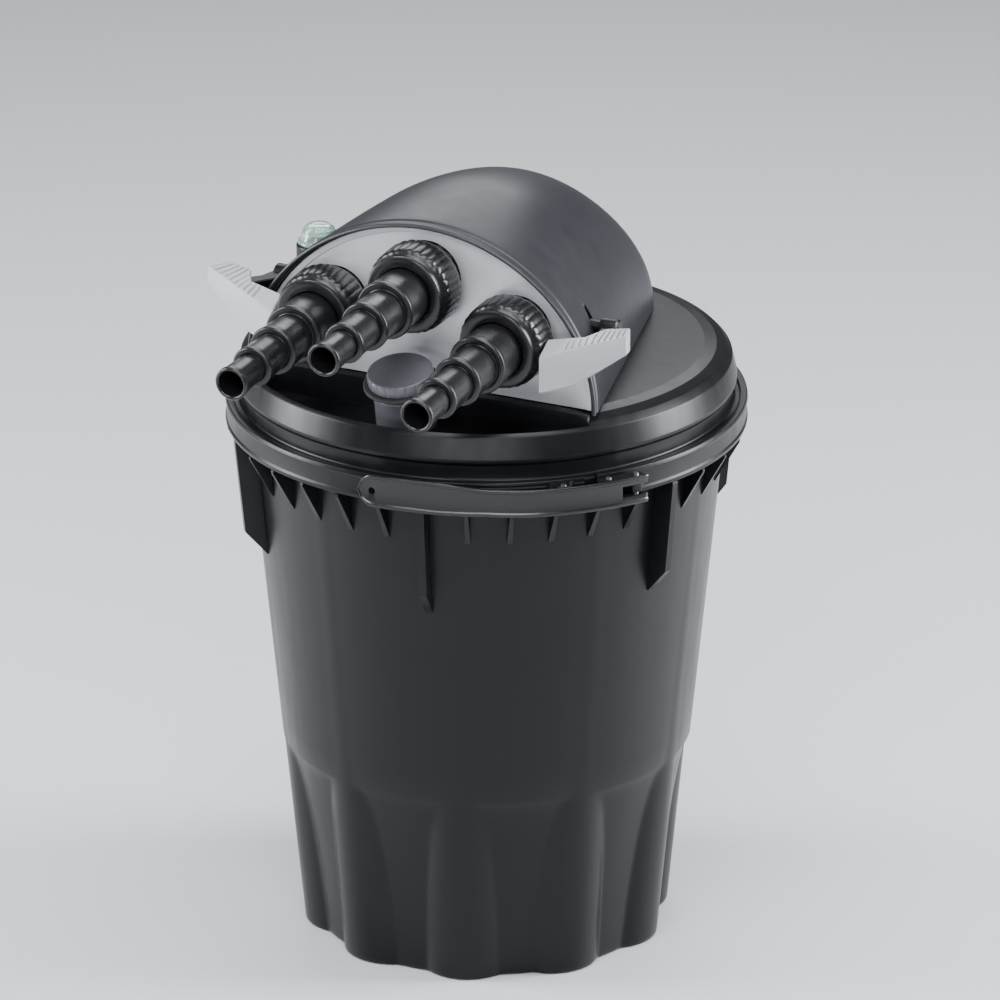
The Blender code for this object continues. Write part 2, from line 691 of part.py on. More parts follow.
def bleed_fitting(black, rubber):
    """Tilted turret on the deck with a turning cap and its ring seal."""
    frame = turret_frame()
    sleeve = [(8.0, -56), (TURRET_R, -56), (TURRET_R, -15.5), (15.0, -15.5), (15.0, -12.3), (8.0, -12.3)]
    turret = turned("bleed_turret", sleeve, black, 32, frame)
    ground = Matrix.Translation((0, TURRET_TOP[1], DECK_Z + GAP))
    boolean(turret, box("tool_turret_trim", (-60, -60, -60), (60, 60, 0), None, ground), "DIFFERENCE")
    boolean(turret, box("tool_turret_flat", (-40, DECK_BACK_Y - 0.4, 380), (40, -60, 480), None), "DIFFERENCE")
    cap = [(0, -30), (6.4, -30), (6.4, -12), (27.5, -12), (27.5, -8.6), (24.4, -8), (24.4, -1), (23.4, 0), (0, 0)]
    turned("bleed_cap", cap, black, 22, frame)
    turned("bleed_seal", cord_profile(7.2, -16.0, 0.6, 5), rubber, 14, frame)


def sight_glass(black, clear):
    """Clear dome over the clarifier's glow, on a boss that passes through the hood."""
    x, y = SIGHT
    frame = Matrix.Translation((x, y, 0))
    boss = turned("sight_boss", ring_profile(9.0, SIGHT_R, 507.0, 531.0), black, 24, frame)
    boolean(boss, box("tool_sight_trim", (10.4, -30, 480), (40, 30, 528.0), None, frame), "DIFFERENCE")
    dome = [(0, 545), (7.4, 543), (10.6, 539), (11.2, 531.3), (15.5, 531.3), (15.5, 533.5), (13.4, 534),
            (12.4, 540), (8.4, 545), (0, 547)]
    turned("sight_dome", dome, clear, 16, frame)


def gland_frame():
    """Frame on the hood's left rear side; Z points outwards."""
    y = 60.0
    x = -hood_half_width(y) + 1.0
    return along((-1, 0.26, 0), (x, y, HOOD_FOOT_Z + 22.0))


def cable_entry(black):
    frame = gland_frame()
    turned("cable_gland", [(3.6, -14), (8.0, -14), (8.0, 2.0), (11.0, 2.0), (11.0, 8.0), (7.0, 15.0), (3.6, 15.0)],
           black, 14, frame)
    turned("gland_nut", [(8.3, -13.5), (12.0, -13.5), (12.0, -9.6), (8.3, -9.6)], black, 12, frame)


# ---------------------------------------------------------------- clarifier and foam stack

def clarifier(black, rubber, glass):
    """Lamp in its quartz sleeve, hung from the lid's centre hole, with its control gear beside it."""
    top = LID_TOP + GAP
    holder = [(0, 452), (SLEEVE_R + 0.4, 452), (SLEEVE_R + 0.4, 441), (30.5, 441), (30.5, top), (40, top),
              (40, top + 6), (27, top + 7), (27, top + 42), (0, top + 42)]
    part = turned("lamp_holder", holder, black, 18)
    boolean(part, prism("tool_lamp_socket", circle(15.0, 16), 440, 474, None), "DIFFERENCE")
    nut = ring_profile(SLEEVE_R + 0.4, 28.0, 428.0, 440.7)
    turned("sleeve_nut", nut, black, 16)
    turned("sleeve_seal", cord_profile(SLEEVE_R + 2.2, 425.9, 1.7, 5), rubber, 14)
    sleeve = [(0, SLEEVE_END), (9, SLEEVE_END + 2.5), (15, SLEEVE_END + 8), (SLEEVE_R, SLEEVE_END + 17),
              (SLEEVE_R, 451.5), (SLEEVE_R - 1.6, 451.5), (SLEEVE_R - 1.6, SLEEVE_END + 17.5),
              (13.8, SLEEVE_END + 10), (8.5, SLEEVE_END + 4.5), (0, SLEEVE_END + 2)]
    turned("quartz_sleeve", sleeve, glass, 14)
    lamp = prism("uv_lamp", circle(13.5, 16), 436, 473.5, glass)
    for side in (-1, 1):
        leg = prism("tool_lamp_leg_%d" % (side + 1), circle(5.4, 12, side * 7.0, 0), 186, 440, None)
        boolean(lamp, leg, "UNION")
    boolean(lamp, box("tool_lamp_bridge", (-7, -2.5, 190), (7, 2.5, 196), None), "UNION")
    box("ballast_box", (-46, 52, top), (46, 104, top + 38), black)


def slotted_plate(name, radius, low, high, material):
    part = turned(name, ring_profile(TUBE_R + 0.4, radius, low, high), material, 24)
    for i in range(2):
        turn = Matrix.Rotation(math.radians(90 * i), 4, "Z")
        for side in (-1, 1):
            label = "tool_slot_%s_%d_%d" % (name, i, side + 1)
            a, b = sorted((side * (TUBE_R + 14.0), side * (radius - 12.0)))
            slot = box(label, (a, -4, low - 2), (b, 4, high + 2), None, turn)
            boolean(part, slot, "DIFFERENCE")
    return part


def foam_stack(black, foams):
    """Stack of ring foams between two slotted plates on a central tube."""
    grid = slotted_plate("base_grid", inner_wall(GRID_Z - 6) - 3.0, GRID_Z - 6, GRID_Z, black)
    for i in range(4):
        foot = polar(22.5 + 90 * i, 86.0)
        leg = prism("tool_grid_leg_%d" % i, circle(7.0, 12, foot.x, foot.y), FLOOR + GAP, GRID_Z - 3, None)
        boolean(grid, leg, "UNION")
    tube = [(TUBE_R - 3.5, 20), (TUBE_R + 6, 20), (TUBE_R + 6, GRID_Z - 6.4), (TUBE_R, GRID_Z - 6.4),
            (TUBE_R, 424), (TUBE_R - 3.5, 424)]
    turned("inner_tube", tube, black, 28)
    step = (FOAM_HIGH - GRID_Z) / FOAMS
    for i in range(FOAMS):
        low = GRID_Z + GAP + i * step
        outer = inner_wall(low) - 3.0
        turned("foam_ring_%d" % (i + 1), ring_profile(TUBE_R + 0.5, outer, low, low + step - GAP),
               foams[i % 2], 28)
    slotted_plate("pressure_plate", inner_wall(FOAM_HIGH) - 6.0, FOAM_HIGH + GAP, FOAM_HIGH + 6, black)
    turned("tube_nut", ring_profile(TUBE_R + 1.2, TUBE_R + 14, FOAM_HIGH + 6.4, FOAM_HIGH + 18), black, 20)


def clear_scene():
    for item in list(bpy.data.objects):
        bpy.data.objects.remove(item, do_unlink=True)


def main():
    clear_scene()
    black = paint("black_plastic", (0.022, 0.022, 0.025), 0.38)
    grey = paint("grey_plastic", (0.42, 0.43, 0.44), 0.45)
    steel = paint("steel", (0.45, 0.45, 0.46), 0.3, 1.0)
    rubber = paint("rubber", (0.015, 0.015, 0.015), 0.7)
    clear = paint("clear_plastic", (0.75, 0.9, 0.82), 0.08, 0.0, 0.35)
    glass = paint("glass", (0.85, 0.9, 0.92), 0.05, 0.0, 0.35)
    foams = [paint("blue_foam", (0.05, 0.16, 0.4), 0.95), paint("black_foam", (0.03, 0.03, 0.03), 0.95)]
    barrel(black)
    barrel_seal(rubber)
    clamp_band(black)
    pivot_lug(black)
    catch_lug(black)
    clamp_pins(steel)
    clamp_link(steel)
    clamp_lever(black)
    lid(black)
    hood_cover(black)
    front_panel(grey)
    ports(black, rubber)
    valve_housing(black)
    valve_rotor(grey)
    selector_shaft(steel)
    for side in (-1, 1):
        selector_lever(side, grey)
    bleed_fitting(black, rubber)
    sight_glass(black, clear)
    cable_entry(black)
    clarifier(black, rubber, glass)
    foam_stack(black, foams)


main()
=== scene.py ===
"""Looks of the pressurised pond filter: fine surfaces, materials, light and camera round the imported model.

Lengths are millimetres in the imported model's frame; MM turns them into Blender's metres.
"""
import json
import math

import bmesh
import bpy
from mathutils import Matrix, Vector

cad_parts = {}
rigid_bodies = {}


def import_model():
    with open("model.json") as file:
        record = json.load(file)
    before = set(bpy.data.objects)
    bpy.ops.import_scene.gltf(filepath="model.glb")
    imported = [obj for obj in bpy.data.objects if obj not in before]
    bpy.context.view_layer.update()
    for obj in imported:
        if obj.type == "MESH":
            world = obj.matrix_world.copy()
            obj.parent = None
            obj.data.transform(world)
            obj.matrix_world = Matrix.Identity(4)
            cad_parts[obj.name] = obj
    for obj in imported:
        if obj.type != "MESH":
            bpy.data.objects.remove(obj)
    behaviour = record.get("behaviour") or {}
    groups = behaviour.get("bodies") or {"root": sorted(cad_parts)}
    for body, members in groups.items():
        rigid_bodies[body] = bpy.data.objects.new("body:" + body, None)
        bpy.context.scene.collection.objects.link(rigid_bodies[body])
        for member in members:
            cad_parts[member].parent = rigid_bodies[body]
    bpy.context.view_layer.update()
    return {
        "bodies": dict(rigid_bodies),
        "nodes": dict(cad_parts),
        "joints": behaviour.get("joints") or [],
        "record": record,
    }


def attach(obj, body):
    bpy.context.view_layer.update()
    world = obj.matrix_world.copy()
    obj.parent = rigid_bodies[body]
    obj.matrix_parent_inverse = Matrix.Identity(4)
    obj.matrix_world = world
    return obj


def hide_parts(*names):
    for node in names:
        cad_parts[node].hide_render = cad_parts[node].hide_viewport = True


MM = 0.001

# barrel
FOOT_R = 135.5
TAPER = 0.0995
BARREL_WALL = 4.0
FLOOR_THICK = 8.0
BARREL_STEPS = 480
FOOT_RIBS = 10
RIB_TOP = 146.0
RIB_DEPTH = 10.0
RIB_ROUND = 34.0
RIB_ANGLE = 18.0
FLANGE_LOW = 392.1
FLANGE_R = 187.2
GUSSETS = 36
GUSSET_ANGLE = 11.5
BUTTRESS_EVERY = 6
GUSSET_TALL = 36.0
BUTTRESS_TALL = 92.0
BUTTRESS_DEPTH = 15.0
FIN_EDGE_R = 189.0

# clamp
BAND_R = 190.0
BAND_LOW = 390.0
BAND_HIGH = 410.0
BAND_LIP_R = 184.0
BAND_GAP_ANGLE = 49.0
BAND_GAP = 3.0
PIVOT_ANGLE = 58.0
PIVOT_R = 200.0
LEVER_END_ANGLE = -2.0
LEVER_HINGE_END = 59.8
LEVER_LOW = 387.5
LEVER_HIGH = 412.0

# lid and hood
LID_TOP = 449.5
DECK_Z = 428.0
DECK_R = 176.0
DECK_BACK_Y = -111.0
HOOD_FOOT_Z = 449.8
HOOD_FRONT_Y = -110.0
HOOD_BACK_Y = 157.0
HOOD_FRONT_HALF = 140.0
HOOD_SIDE_TAPER = 0.262
HOOD_HIGH = 129.0
HOOD_CREST_Y = -25.0
HOOD_POWER = 1.95
HOOD_LEAN = 0.056

# ports, selector and fittings
PORT_DROOP = 3.0
PORTS = {
    "left": (-72.8, -135.3, 497.2),
    "middle": (0.0, -135.0, 526.8),
    "right": (72.8, -135.3, 497.2),
}
TAIL_STEPS = ((21.0, 31.0), (17.4, 63.0), (14.4, 95.0), (11.8, 127.0))
TAIL_BORE = 9.6
SHAFT_Y = -66.0
SHAFT_Z = 500.0
GRIP_UNDER = ((106.0, 469.0), (129.0, 476.0), (145.0, 487.0), (167.0, 503.0))
GRIP_BACK_LIFT = 9.0
GRIP_BACK = ((106.0, -117.0), (133.0, -113.0), (142.0, -96.0), (160.0, -96.0))
TURRET_TOP = (0.0, -141.0, 472.5)
TURRET_TILT = 14.0
SIGHT = (-99.0, -72.0)
SIGHT_R = 16.5

# camera and floor
VIEW_AZIMUTH = 26.0
VIEW_ELEVATION = 20.9
VIEW_DISTANCE = 6946.0
VIEW_LENS = 343.5
AIM_RIGHT = 9.7
AIM_DOWN = 52.5
AIM_Z = 380.0


# ---------------------------------------------------------------- shape helpers

def polar(angle, radius, z=0.0):
    """Point at an angle in degrees from -Y towards +X."""
    a = math.radians(angle)
    return Vector((radius * math.sin(a), -radius * math.cos(a), z))


def plan(pairs):
    """Flat outline from (angle, radius) pairs."""
    return [tuple(polar(angle, radius)[:2]) for angle, radius in pairs]


def fillet(points, radius, closed=False, steps=4):
    """Round the corners of a flat polyline with arcs no larger than the legs allow."""
    pts = [Vector(p) for p in points]
    count = len(pts)
    out = []
    for i, p in enumerate(pts):
        if not closed and i in (0, count - 1):
            out.append(p)
            continue
        before = pts[i - 1] - p
        after = pts[(i + 1) % count] - p
        if before.length < 1e-6 or after.length < 1e-6:
            continue
        half = before.angle(after) / 2
        if half > math.radians(86):
            out.append(p)
            continue
        reach = min(radius / math.tan(half), before.length * 0.48, after.length * 0.48)
        a = p + before.normalized() * reach
        b = p + after.normalized() * reach
        for k in range(steps + 1):
            t = k / steps
            out.append(a * (1 - t) ** 2 + p * 2 * t * (1 - t) + b * t ** 2)
    return out


def publish(name, bm, body, node, material, frame=None, sharp=35.0):
    """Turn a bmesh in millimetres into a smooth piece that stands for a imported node."""
    bmesh.ops.recalc_face_normals(bm, faces=bm.faces)
    if frame is not None:
        bmesh.ops.transform(bm, matrix=frame, verts=bm.verts)
    bmesh.ops.scale(bm, vec=(MM, MM, MM), verts=bm.verts)
    mesh = bpy.data.meshes.new(name)
    bm.to_mesh(mesh)
    bm.free()
    mesh.shade_smooth()
    mesh.set_sharp_from_angle(angle=math.radians(sharp))
    piece = bpy.data.objects.new(name, mesh)
    bpy.context.scene.collection.objects.link(piece)
    mesh.materials.append(material)
    if body is not None:
        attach(piece, body)
    if node is not None:
        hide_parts(node)
    return piece


def skin(bm, rows, wrap=True, cap_ends=False):
    """Quads between rows of points; a row of one point is a pole."""
    loops = [[bm.verts.new(p) for p in row] for row in rows]
    for low, high in zip(loops, loops[1:]):
        count = max(len(low), len(high))
        last = count if wrap else count - 1
        for i in range(last):
            j = (i + 1) % count
            if len(low) == 1:
                bm.faces.new((low[0], high[j], high[i]))
            elif len(high) == 1:
                bm.faces.new((low[i], low[j], high[0]))
            else:
                bm.faces.new((low[i], low[j], high[j], high[i]))
    if cap_ends:
        bm.faces.new(loops[0])
        bm.faces.new(loops[-1])
    return loops


def lathe(bm, profile, steps=96, closed=False, start=0.0, sweep=360.0):
    """Turn (radius, z) points about Z; the ends of an open sweep are capped."""
    whole = sweep >= 360.0
    count = steps if whole else steps + 1
    angles = [start + sweep * i / steps for i in range(count)]
    profile = list(profile)
    if whole:
        rows = [[polar(a, r, z) for a in angles] if r > 1e-6 else [Vector((0, 0, z))] for r, z in profile]
        if closed:
            rows.append(rows[0])
        skin(bm, rows)
        bmesh.ops.remove_doubles(bm, verts=bm.verts, dist=1e-4)
        return bm
    rows = [[polar(a, r, z) for r, z in profile] for a in angles]
    skin(bm, rows, wrap=closed, cap_ends=True)
    return bm


def turned(name, profile, body, node, material, radius=0.6, steps=96, frame=None, closed=True):
    bm = bmesh.new()
    lathe(bm, [tuple(p) for p in fillet(profile, radius, closed)], steps, closed)
    return publish(name, bm, body, node, material, frame)


def extruded(bm, outline, low, high, edge=0.0):
    """Prism with a flat outline in X and Y, its rims eased by a chamfer."""
    outline = [Vector((p[0], p[1])) for p in outline]
    count = len(outline)
    centre = sum(outline, Vector((0, 0))) / count
    rows = []
    for z, inset in ((low, edge), (low + edge, 0.0), (high - edge, 0.0), (high, edge)):
        row = []
        for i, p in enumerate(outline):
            along = outline[(i + 1) % count] - outline[i - 1]
            normal = Vector((along.y, -along.x)).normalized()
            if normal.dot(p - centre) < 0 and edge == 0:
                normal = -normal
            q = p - normal * inset
            row.append(Vector((q.x, q.y, z)))
        rows.append(row)
    skin(bm, rows, cap_ends=True)
    return bm


def counter_clockwise(outline):
    area = sum(a[0] * b[1] - b[0] * a[1] for a, b in zip(outline, outline[1:] + outline[:1]))
    return outline if area > 0 else list(reversed(outline))


def cut(piece, tool, operation="DIFFERENCE"):
    """Apply a Boolean with a tool object and remove the tool."""
    step = piece.modifiers.new("cut", "BOOLEAN")
    step.operation = operation
    step.solver = "EXACT"
    step.object = tool
    bake(piece)
    bpy.data.objects.remove(tool, do_unlink=True)


def bake(piece):
    """Apply a piece's modifiers to its mesh."""
    graph = bpy.context.evaluated_depsgraph_get()
    mesh = bpy.data.meshes.new_from_object(piece.evaluated_get(graph))
    old = piece.data
    piece.modifiers.clear()
    piece.data = mesh
    bpy.data.meshes.remove(old)


def tool_object(bm, frame=None):
    bmesh.ops.recalc_face_normals(bm, faces=bm.faces)
    if frame is not None:
        bmesh.ops.transform(bm, matrix=frame, verts=bm.verts)
    bmesh.ops.scale(bm, vec=(MM, MM, MM), verts=bm.verts)
    mesh = bpy.data.meshes.new("tool")
    bm.to_mesh(mesh)
    bm.free()
    tool = bpy.data.objects.new("tool", mesh)
    bpy.context.scene.collection.objects.link(tool)
    return tool


def ease(piece, width, segments=2, angle=35.0):
    """Round the hard edges of a piece."""
    step = piece.modifiers.new("ease", "BEVEL")
    step.width = width * MM
    step.segments = segments
    step.limit_method = "ANGLE"
    step.angle_limit = math.radians(angle)
    bake(piece)
    piece.data.shade_smooth()
    piece.data.set_sharp_from_angle(angle=math.radians(40))


def circle(radius, count=48, x=0.0, y=0.0):
    turns = [2 * math.pi * i / count for i in range(count)]
    return [(x + radius * math.cos(t), y + radius * math.sin(t)) for t in turns]


def along(axis, point):
    """Frame at a point whose Z runs along an axis."""
    turn = Vector(axis).to_track_quat("Z", "Y").to_matrix().to_4x4()
    return Matrix.Translation(point) @ turn


# ---------------------------------------------------------------- materials

def node_of(tree, kind, **values):
    node = tree.nodes.new(kind)
    for key, value in values.items():
        if hasattr(node, key):
            setattr(node, key, value)
        else:
            node.inputs[key.replace("_", " ")].default_value = value
    return node


def noise(tree, coords, scale, detail=3.0, stretch=None):
    """Noise in object space, at a scale in waves per metre."""
    source = coords
    if stretch is not None:
        mapping = node_of(tree, "ShaderNodeMapping")
        mapping.inputs["Scale"].default_value = stretch
        tree.links.new(coords, mapping.inputs["Vector"])
        source = mapping.outputs["Vector"]
    node = node_of(tree, "ShaderNodeTexNoise", Scale=scale, Detail=detail)
    tree.links.new(source, node.inputs["Vector"])
    return node.outputs["Fac"]


def span(tree, value, low, high, to_low, to_high):
    node = node_of(tree, "ShaderNodeMapRange")
    for name, number in (("From Min", low), ("From Max", high), ("To Min", to_low), ("To Max", to_high)):
        node.inputs[name].default_value = number
    tree.links.new(value, node.inputs["Value"])
    return node.outputs["Result"]


def blend_colors(tree, fac, a, b):
    node = node_of(tree, "ShaderNodeMix", data_type="RGBA")
    tree.links.new(fac, node.inputs["Factor"])
    for socket, value in ((node.inputs[6], a), (node.inputs[7], b)):
        if isinstance(value, tuple):
            socket.default_value = (*value, 1.0)
        else:
            tree.links.new(value, socket)
    return node.outputs[2]


def edge_mask(tree, reach):
    """1 on worn outer edges, 0 on flat skin, from how far the rounded normal leans."""
    bevel = node_of(tree, "ShaderNodeBevel", samples=6)
    bevel.inputs["Radius"].default_value = reach * MM
    geometry = node_of(tree, "ShaderNodeNewGeometry")
    dot = node_of(tree, "ShaderNodeVectorMath", operation="DOT_PRODUCT")
    tree.links.new(bevel.outputs["Normal"], dot.inputs[0])
    tree.links.new(geometry.outputs["Normal"], dot.inputs[1])
    return span(tree, dot.outputs["Value"], 0.995, 0.86, 0.0, 1.0)


def moulded(name, color, roughness, grain=0.25, grain_scale=1600.0, variation=0.04, wear=0.12, worn=None,
            brushed=None, coat=0.0, gloss=0.5):
    """Injection-moulded plastic: grain bump, patchy gloss, handling marks and paler edges."""
    material = bpy.data.materials.new(name)
    material.use_nodes = True
    tree = material.node_tree
    shader = tree.nodes["Principled BSDF"]
    coords = node_of(tree, "ShaderNodeTexCoord").outputs["Object"]
    patches = noise(tree, coords, 14.0, 4.0)
    fine = noise(tree, coords, grain_scale, 2.0, brushed)
    marks = noise(tree, coords, 90.0, 6.0, (1.0, 1.0, 0.18))
    darker = tuple(c * 0.93 for c in color)
    lighter = tuple(min(1.0, c * 1.07) for c in color)
    base = blend_colors(tree, span(tree, patches, 0.35, 0.65, 0.0, 1.0), darker, lighter)
    worn = worn or tuple(min(1.0, c * 2.2 + 0.02) for c in color)
    mask = edge_mask(tree, 0.9)
    scaled = node_of(tree, "ShaderNodeMath", operation="MULTIPLY")
    scaled.inputs[1].default_value = wear
    tree.links.new(mask, scaled.inputs[0])
    tree.links.new(blend_colors(tree, scaled.outputs[0], base, worn), shader.inputs["Base Color"])
    rough = span(tree, marks, 0.3, 0.7, roughness - variation, roughness + variation)
    tree.links.new(rough, shader.inputs["Roughness"])
    bump = node_of(tree, "ShaderNodeBump")
    bump.inputs["Strength"].default_value = grain
    bump.inputs["Distance"].default_value = 0.00012
    tree.links.new(fine, bump.inputs["Height"])
    tree.links.new(bump.outputs["Normal"], shader.inputs["Normal"])
    shader.inputs["Specular IOR Level"].default_value = gloss
    shader.inputs["Coat Weight"].default_value = coat
    shader.inputs["Coat Roughness"].default_value = 0.25
    return material


def panel_material():
    """Silver paint with a fine brushed grain that mirrors the deck below it."""
    material = moulded("panel_grey", (0.62, 0.63, 0.65), 0.33, 0.5, 900.0, 0.05, 0.3, (0.8, 0.8, 0.82),
                       (1.0, 1.0, 0.05))
    material.node_tree.nodes["Principled BSDF"].inputs["Metallic"].default_value = 0.5
    return material


def steel_material():
    material = moulded("steel", (0.5, 0.5, 0.52), 0.32, 0.3, 2400.0, 0.1, 0.4, (0.8, 0.8, 0.8), (1, 1, 0.06))
    material.node_tree.nodes["Principled BSDF"].inputs["Metallic"].default_value = 1.0
    return material


def clear_material(name, color, roughness):
    """Clear moulded plastic or quartz, with faint haze."""
    material = moulded(name, color, roughness, 0.05, 500.0, 0.04, 0.0)
    shader = material.node_tree.nodes["Principled BSDF"]
    shader.inputs["Transmission Weight"].default_value = 0.85
    shader.inputs["IOR"].default_value = 1.46
    return material


def foam_material(name, color):
    """Open-cell foam: pale struts, with painted shade darkening the pores between them."""
    material = bpy.data.materials.new(name)
    material.use_nodes = True
    tree = material.node_tree
    shader = tree.nodes["Principled BSDF"]
    coords = node_of(tree, "ShaderNodeTexCoord").outputs["Object"]
    cells = node_of(tree, "ShaderNodeTexVoronoi", feature="DISTANCE_TO_EDGE", Scale=420.0)
    tree.links.new(coords, cells.inputs["Vector"])
    strut = span(tree, cells.outputs["Distance"], 0.02, 0.2, 1.0, 0.0)
    # painted shade: the cell hollows take the foam colour at 15 percent, standing for the shade inside the
    # pores
    pore_shade = tuple(c * 0.15 for c in color)
    tree.links.new(blend_colors(tree, strut, pore_shade, color), shader.inputs["Base Color"])
    bump = node_of(tree, "ShaderNodeBump")
    bump.inputs["Strength"].default_value = 0.8
    bump.inputs["Distance"].default_value = 0.001
    tree.links.new(strut, bump.inputs["Height"])
    tree.links.new(bump.outputs["Normal"], shader.inputs["Normal"])
    shader.inputs["Roughness"].default_value = 0.95
    return material


def floor_material():
    """Plain pale studio floor with a trace of paper tooth."""
    material = bpy.data.materials.new("floor_paint")
    material.use_nodes = True
    tree = material.node_tree
    shader = tree.nodes["Principled BSDF"]
    coords = node_of(tree, "ShaderNodeTexCoord").outputs["Object"]
    tooth = span(tree, noise(tree, coords, 900.0, 2.0), 0.3, 0.7, 0.0, 1.0)
    color = blend_colors(tree, tooth, (0.50, 0.502, 0.506), (0.52, 0.522, 0.526))
    tree.links.new(color, shader.inputs["Base Color"])
    shader.inputs["Roughness"].default_value = 0.65
    return material


def make_materials():
    return {
        "black_plastic": moulded("black_plastic", (0.0038, 0.0039, 0.0048), 0.33, 0.3, gloss=0.24),
        "hood_plastic": moulded("hood_plastic", (0.013, 0.0135, 0.016), 0.40, 0.25, variation=0.025,
                                gloss=0.42),
        "tail_plastic": moulded("tail_plastic", (0.007, 0.007, 0.008), 0.29, 0.2, gloss=0.45),
        "lever_plastic": moulded("lever_plastic", (0.007, 0.007, 0.008), 0.24, 0.1, wear=0.04, gloss=0.5),
        "cap_plastic": moulded("cap_plastic", (0.085, 0.087, 0.097), 0.38, 0.2),
        "panel_grey": panel_material(),
        "grip_grey": moulded("grip_grey", (0.33, 0.34, 0.355), 0.40, 0.4, wear=0.35, worn=(0.72, 0.73, 0.75)),
        "inner_plastic": moulded("inner_plastic", (0.03, 0.03, 0.032), 0.5),
        "rotor_grey": moulded("rotor_grey", (0.42, 0.43, 0.44), 0.4),
        "steel": steel_material(),
        "rubber": moulded("rubber", (0.012, 0.012, 0.012), 0.7, 0.5),
        "clear_dome": clear_material("clear_dome", (0.66, 0.86, 0.77), 0.10),
        "quartz": clear_material("quartz", (0.88, 0.93, 0.95), 0.05),
        "blue_foam": foam_material("blue_foam", (0.07, 0.2, 0.48)),
        "black_foam": foam_material("black_foam", (0.05, 0.05, 0.05)),
    }


# ---------------------------------------------------------------- barrel

def crest_radius(z):
    return FOOT_R + TAPER * z


def wall_radius(z):
    """Wall between the foot ribs, sunk behind their crests under a round arch."""
    return crest_radius(z) - RIB_DEPTH * math.sqrt(max(0.0, 1 - (z / RIB_TOP) ** 2))


def barrel_radius(angle, z):
    """Wall radius with half-round foot ribs that blend into it."""
    crest = crest_radius(z)
    wall = wall_radius(z)
    pitch = 360.0 / FOOT_RIBS
    off = math.radians((angle - RIB_ANGLE + pitch / 2) % pitch - pitch / 2)
    centre = crest - RIB_ROUND
    under = RIB_ROUND ** 2 - (centre * math.sin(off)) ** 2
    if under <= 0:
        return wall
    rib = centre * math.cos(off) + math.sqrt(under)
    soft = 1.2
    if abs(rib - wall) >= soft:
        return max(rib, wall)
    return max(rib, wall) + (soft - abs(rib - wall)) ** 2 / (4 * soft)


def fin_outline(long_one):
    """Radial section of a fin under the rim, in (radius, z)."""
    tall = BUTTRESS_TALL if long_one else GUSSET_TALL
    low = FLANGE_LOW - tall
    inner = crest_radius(low) - 2.0
    tip = [(inner, low), (crest_radius(low) + 0.5, low)]
    if long_one:
        shoulder = low + 0.2 * tall
        tip.append((crest_radius(shoulder) + BUTTRESS_DEPTH, shoulder))
    return tip + [
        (FIN_EDGE_R, BAND_LOW - 3.0), (FIN_EDGE_R, BAND_LOW - 0.4), (BAND_LIP_R - 1.0, BAND_LOW - 0.4),
        (BAND_LIP_R - 1.0, FLANGE_LOW + 0.5), (inner, FLANGE_LOW + 0.5),
    ]


def add_fin(bm, angle, long_one):
    """One tapered fin: thicker at its root than at its outer edge."""
    outline = fillet(fin_outline(long_one), 1.4, True, 3)
    root = 3.4 if long_one else 2.2
    tip = 2.4 if long_one else 1.2
    side = Vector((math.cos(math.radians(angle)), math.sin(math.radians(angle)), 0))
    inner = min(p[0] for p in outline)
    rows = []
    for sign, ease_in in ((-1, 0.5), (-1, 0.0), (1, 0.0), (1, 0.5)):
        row = []
        for r, z in outline:
            share = (r - inner) / (BAND_R - inner)
            half = root + (tip - root) * share - ease_in * 0.8
            row.append(polar(angle, r - ease_in * 0.8, z) + side * sign * half)
        rows.append(row)
    skin(bm, rows, cap_ends=True)


def make_barrel(mat):
    bm = bmesh.new()
    angles = [i * 360.0 / BARREL_STEPS for i in range(BARREL_STEPS)]
    rows = [[Vector((0, 0, 0.0))], [polar(a, 60.0, 0.0) for a in angles]]
    for drop, z in ((4.0, 0.0), (1.2, 0.5), (0.3, 1.8)):
        rows.append([polar(a, barrel_radius(a, 3.0) - drop, z) for a in angles])
    levels = [4.0 + 4.0 * i for i in range(37)] + [165.0, 200.0, 240.0, 280.0, 320.0, 360.0, 385.0]
    rows += [[polar(a, barrel_radius(a, z), z) for a in angles] for z in levels]
    top = crest_radius(390.0)
    for r, z in ((top, 390.0), (top + 1.0, 391.6), (top + 3, FLANGE_LOW), (FLANGE_R, FLANGE_LOW),
                 (FLANGE_R, 399.7), (crest_radius(400) - BARREL_WALL, 399.7)):
        rows.append([polar(a, r, z) for a in angles])
    for z in (300.0, RIB_TOP, 140.0, 125.0, 95.0, 50.0, FLOOR_THICK):
        rows.append([polar(a, wall_radius(z) - BARREL_WALL, z) for a in angles])
    rows.append([Vector((0, 0, FLOOR_THICK))])
    skin(bm, rows)
    for i in range(GUSSETS):
        add_fin(bm, GUSSET_ANGLE + i * 360.0 / GUSSETS, i % BUTTRESS_EVERY == 0)
    publish("barrel_shell", bm, "base", "barrel", mat["black_plastic"], sharp=30.0)


# ---------------------------------------------------------------- clamp band and lever

def make_band(mat):
    """Channel-section band with rolled edges and a pressed rib, split at the latch."""
    sheet = 1.6
    outline = [
        (BAND_LIP_R, BAND_LOW), (BAND_R - 0.6, BAND_LOW), (BAND_R, BAND_LOW + 3.0),
        (BAND_R - 0.9, BAND_LOW + 4.6),
        (BAND_R - 0.9, BAND_HIGH - 4.6), (BAND_R, BAND_HIGH - 3.0), (BAND_R - 0.6, BAND_HIGH),
        (BAND_LIP_R, BAND_HIGH), (BAND_LIP_R, BAND_HIGH - sheet), (BAND_R - 2.4, BAND_HIGH - sheet),
        (BAND_R - 2.4, BAND_LOW + sheet), (BAND_LIP_R, BAND_LOW + sheet),
    ]
    bm = bmesh.new()
    section = [tuple(p) for p in fillet(outline, 0.9, True, 3)]
    lathe(bm, section, 300, True, BAND_GAP_ANGLE + BAND_GAP / 2, 360.0 - BAND_GAP)
    publish("band", bm, "base", "clamp_band", mat["black_plastic"])


